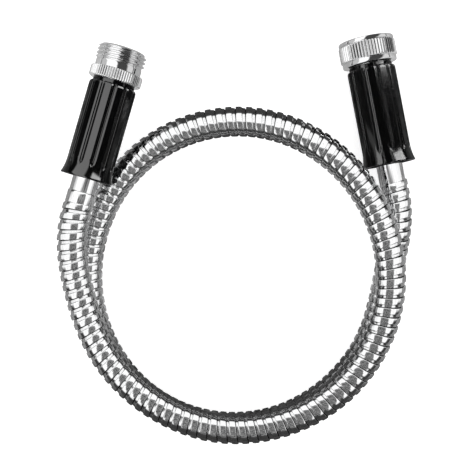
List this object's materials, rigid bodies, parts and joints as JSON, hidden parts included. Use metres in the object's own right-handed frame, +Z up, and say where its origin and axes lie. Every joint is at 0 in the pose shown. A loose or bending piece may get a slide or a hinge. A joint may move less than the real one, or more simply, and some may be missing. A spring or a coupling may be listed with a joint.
{
  "type": "metal leader hose",
  "caption": "Short flexible interlocked metal hose lying in a coil, with a male threaded spigot at one end, a female swivel nut at the other and a ribbed black grip behind each.",
  "frame": {"origin": "on the surface the coil rests on, under the middle of its outline", "axes": "+Z up out of the plane of the coil; +Y towards the two fittings; the male end is on the -X side and the female end on the +X side"},
  "size_m": [0.1976, 0.23, 0.0464],
  "materials": {
    "jacket": "polished stainless strip, wound and interlocked",
    "liner": "smooth flexible water tube",
    "plated_brass": "nickel-plated brass, knurled and threaded",
    "ferrule": "bright drawn tube",
    "grip": "gloss black moulded plastic",
    "washer": "black rubber"
  },
  "bodies": {
    "male_end": {"male_coupling": "plated_brass", "male_ferrule": "ferrule", "male_grip": "grip", "jacket_00": "jacket", "liner_00": "liner"},
    "hose_01": {"jacket_01": "jacket", "liner_01": "liner"},
    "hose_02": {"jacket_02": "jacket", "liner_02": "liner"},
    "hose_03": {"jacket_03": "jacket", "liner_03": "liner"},
    "hose_04": {"jacket_04": "jacket", "liner_04": "liner"},
    "hose_05": {"jacket_05": "jacket", "liner_05": "liner"},
    "hose_06": {"jacket_06": "jacket", "liner_06": "liner"},
    "hose_07": {"jacket_07": "jacket", "liner_07": "liner"},
    "hose_08": {"jacket_08": "jacket", "liner_08": "liner"},
    "hose_09": {"jacket_09": "jacket", "liner_09": "liner"},
    "hose_10": {"jacket_10": "jacket", "liner_10": "liner"},
    "hose_11": {"jacket_11": "jacket", "liner_11": "liner"},
    "hose_12": {"jacket_12": "jacket", "liner_12": "liner"},
    "hose_13": {"jacket_13": "jacket", "liner_13": "liner"},
    "hose_14": {"jacket_14": "jacket", "liner_14": "liner"},
    "hose_15": {"jacket_15": "jacket", "liner_15": "liner"},
    "hose_16": {"jacket_16": "jacket", "liner_16": "liner"},
    "hose_17": {"jacket_17": "jacket", "liner_17": "liner"},
    "hose_18": {"jacket_18": "jacket", "liner_18": "liner"},
    "hose_19": {"jacket_19": "jacket", "liner_19": "liner"},
    "hose_20": {"jacket_20": "jacket", "liner_20": "liner"},
    "hose_21": {"jacket_21": "jacket", "liner_21": "liner"},
    "hose_22": {"jacket_22": "jacket", "liner_22": "liner"},
    "hose_23": {"jacket_23": "jacket", "liner_23": "liner"},
    "female_end": {"female_tailpiece": "plated_brass", "female_ferrule": "ferrule", "female_grip": "grip", "jacket_24": "jacket", "liner_24": "liner"},
    "swivel": {"swivel_nut": "plated_brass", "hose_washer": "washer"}
  },
  "joints": [
    {"name": "male_end_lift", "type": "hinge", "parent": "hose_01", "child": "male_end", "pos_m": [-0.09061, 0.01034, 0.03195], "axis": [0.9609, -0.277, 0], "range_deg": [0, 20]},
    {"name": "hose_bend_01", "type": "hinge", "parent": "hose_02", "child": "hose_01", "pos_m": [-0.08991, -0.02794, 0.02784], "axis": [0, 0, 1], "range_deg": [0, 17.65]},
    {"name": "hose_bend_02", "type": "hinge", "parent": "hose_03", "child": "hose_02", "pos_m": [-0.07614, -0.06361, 0.02615], "axis": [0, 0, 1], "range_deg": [0, 20.66]},
    {"name": "hose_bend_03", "type": "hinge", "parent": "hose_04", "child": "hose_03", "pos_m": [-0.04924, -0.0909, 0.02615], "axis": [0, 0, 1], "range_deg": [0, 20.78]},
    {"name": "hose_bend_04", "type": "hinge", "parent": "hose_05", "child": "hose_04", "pos_m": [-0.01367, -0.10513, 0.02615], "axis": [0, 0, 1], "range_deg": [0, 23.38]},
    {"name": "hose_bend_05", "type": "hinge", "parent": "hose_06", "child": "hose_05", "pos_m": [0.02448, -0.10195, 0.02615], "axis": [0, 0, 1], "range_deg": [0, 22.24]},
    {"name": "hose_bend_06", "type": "hinge", "parent": "hose_07", "child": "hose_06", "pos_m": [0.05765, -0.08277, 0.02615], "axis": [0, 0, 1], "range_deg": [0, 23.14]},
    {"name": "hose_bend_07", "type": "hinge", "parent": "hose_08", "child": "hose_07", "pos_m": [0.07883, -0.05097, 0.02755], "axis": [0, 0, 1], "range_deg": [0, 23.32]},
    {"name": "hose_bend_08", "type": "hinge", "parent": "hose_09", "child": "hose_08", "pos_m": [0.08359, -0.01313, 0.03075], "axis": [0, 0, 1], "range_deg": [0, 22.32]},
    {"name": "hose_bend_09", "type": "hinge", "parent": "hose_10", "child": "hose_09", "pos_m": [0.07163, 0.02325, 0.03075], "axis": [0, 0, 1], "range_deg": [0, 21.77]},
    {"name": "hose_bend_10", "type": "hinge", "parent": "hose_11", "child": "hose_10", "pos_m": [0.04555, 0.05128, 0.02954], "axis": [0, 0, 1], "range_deg": [0, 22.22]},
    {"name": "hose_bend_11", "type": "hinge", "parent": "hose_12", "child": "hose_11", "pos_m": [0.01015, 0.06545, 0.02587], "axis": [0, 0, 1], "range_deg": [0, 23.24]},
    {"name": "hose_uncoil", "type": "hinge", "parent": "hose_12", "child": "hose_13", "pos_m": [-0.02768, 0.06241, 0.02082], "axis": [0, 0, -1], "range_deg": [0, 28.93]},
    {"name": "hose_bend_13", "type": "hinge", "parent": "hose_13", "child": "hose_14", "pos_m": [-0.06039, 0.0432, 0.0155], "axis": [0, 0, -1], "range_deg": [0, 28.89]},
    {"name": "hose_bend_14", "type": "hinge", "parent": "hose_14", "child": "hose_15", "pos_m": [-0.08154, 0.01158, 0.01103], "axis": [0, 0, -1], "range_deg": [0, 27.36]},
    {"name": "hose_bend_15", "type": "hinge", "parent": "hose_15", "child": "hose_16", "pos_m": [-0.08775, -0.02613, 0.00851], "axis": [0, 0, -1], "range_deg": [0, 27.93]},
    {"name": "hose_bend_16", "type": "hinge", "parent": "hose_16", "child": "hose_17", "pos_m": [-0.07746, -0.06303, 0.0083], "axis": [0, 0, -1], "range_deg": [0, 27.98]},
    {"name": "hose_bend_17", "type": "hinge", "parent": "hose_17", "child": "hose_18", "pos_m": [-0.05255, -0.09213, 0.0083], "axis": [0, 0, -1], "range_deg": [0, 29.78]},
    {"name": "hose_bend_18", "type": "hinge", "parent": "hose_18", "child": "hose_19", "pos_m": [-0.01726, -0.107, 0.0083], "axis": [0, 0, -1], "range_deg": [0, 29.72]},
    {"name": "hose_bend_19", "type": "hinge", "parent": "hose_19", "child": "hose_20", "pos_m": [0.02095, -0.10454, 0.0083], "axis": [0, 0, -1], "range_deg": [0, 29]},
    {"name": "hose_bend_20", "type": "hinge", "parent": "hose_20", "child": "hose_21", "pos_m": [0.05427, -0.08563, 0.0083], "axis": [0, 0, -1], "range_deg": [0, 27.43]},
    {"name": "hose_bend_21", "type": "hinge", "parent": "hose_21", "child": "hose_22", "pos_m": [0.07675, -0.05461, 0.0083], "axis": [0, 0, -1], "range_deg": [0, 24.02]},
    {"name": "hose_bend_22", "type": "hinge", "parent": "hose_22", "child": "hose_23", "pos_m": [0.08627, -0.01775, 0.00931], "axis": [0, 0, -1], "range_deg": [0, 12.71]},
    {"name": "female_end_lift", "type": "hinge", "parent": "hose_23", "child": "female_end", "pos_m": [0.08835, 0.02029, 0.016], "axis": [0.9823, 0.1871, 0], "range_deg": [0, 15]},
    {"name": "nut_swivel", "type": "hinge", "parent": "female_end", "child": "swivel", "pos_m": [0.07226, 0.10476, 0.016], "axis": [-0.1871, 0.9823, 0], "continuous": true}
  ],
  "couplings": [
    {"joint": "hose_bend_01", "follows": "hose_uncoil", "ratio": 0.61009},
    {"joint": "hose_bend_02", "follows": "hose_uncoil", "ratio": 0.71414},
    {"joint": "hose_bend_03", "follows": "hose_uncoil", "ratio": 0.71828},
    {"joint": "hose_bend_04", "follows": "hose_uncoil", "ratio": 0.80816},
    {"joint": "hose_bend_05", "follows": "hose_uncoil", "ratio": 0.76875},
    {"joint": "hose_bend_06", "follows": "hose_uncoil", "ratio": 0.79986},
    {"joint": "hose_bend_07", "follows": "hose_uncoil", "ratio": 0.80608},
    {"joint": "hose_bend_08", "follows": "hose_uncoil", "ratio": 0.77152},
    {"joint": "hose_bend_09", "follows": "hose_uncoil", "ratio": 0.75251},
    {"joint": "hose_bend_10", "follows": "hose_uncoil", "ratio": 0.76806},
    {"joint": "hose_bend_11", "follows": "hose_uncoil", "ratio": 0.80332},
    {"joint": "hose_bend_13", "follows": "hose_uncoil", "ratio": 0.99862},
    {"joint": "hose_bend_14", "follows": "hose_uncoil", "ratio": 0.94573},
    {"joint": "hose_bend_15", "follows": "hose_uncoil", "ratio": 0.96543},
    {"joint": "hose_bend_16", "follows": "hose_uncoil", "ratio": 0.96716},
    {"joint": "hose_bend_17", "follows": "hose_uncoil", "ratio": 1.0294},
    {"joint": "hose_bend_18", "follows": "hose_uncoil", "ratio": 1.0273},
    {"joint": "hose_bend_19", "follows": "hose_uncoil", "ratio": 1.0024},
    {"joint": "hose_bend_20", "follows": "hose_uncoil", "ratio": 0.94815},
    {"joint": "hose_bend_21", "follows": "hose_uncoil", "ratio": 0.83028},
    {"joint": "hose_bend_22", "follows": "hose_uncoil", "ratio": 0.43934}
  ]
}
